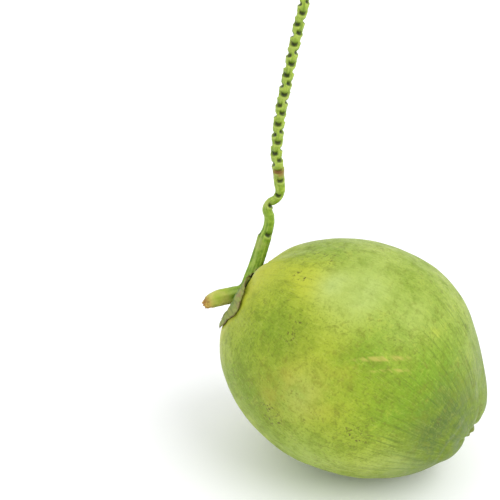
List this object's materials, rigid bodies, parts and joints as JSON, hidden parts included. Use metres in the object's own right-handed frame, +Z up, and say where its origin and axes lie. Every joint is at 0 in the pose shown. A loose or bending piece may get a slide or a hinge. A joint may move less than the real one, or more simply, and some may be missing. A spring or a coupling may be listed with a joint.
{
  "type": "green coconut",
  "caption": "Whole green coconut lying on its side, with its calyx lobes, a short stalk stub and a long notched spikelet standing up.",
  "frame": {"origin": "middle of the small flat spot that the fruit rests on", "axes": "+Z up, away from the surface; the fruit's axis lies over the X axis, with the stalk end towards -X and raised, and the tip towards +X"},
  "size_m": [0.2114, 0.176, 0.3851],
  "materials": {
    "husk_skin": "smooth waxy green skin with a satin sheen, mottled and lightly scuffed",
    "petal_skin": "leathery dull green lobe with a dry brown edge",
    "sepal_skin": "leathery grey-green lobe with brown streaks",
    "stalk_skin": "fresh green woody stalk, smooth with dark flower scars"
  },
  "bodies": {
    "root": {"coconut_husk": "husk_skin", "calyx_petal_1": "petal_skin", "calyx_petal_2": "petal_skin", "calyx_petal_3": "petal_skin", "calyx_sepal_1": "sepal_skin", "calyx_sepal_2": "sepal_skin", "calyx_sepal_3": "sepal_skin", "stalk": "stalk_skin"}
  },
  "joints": []
}
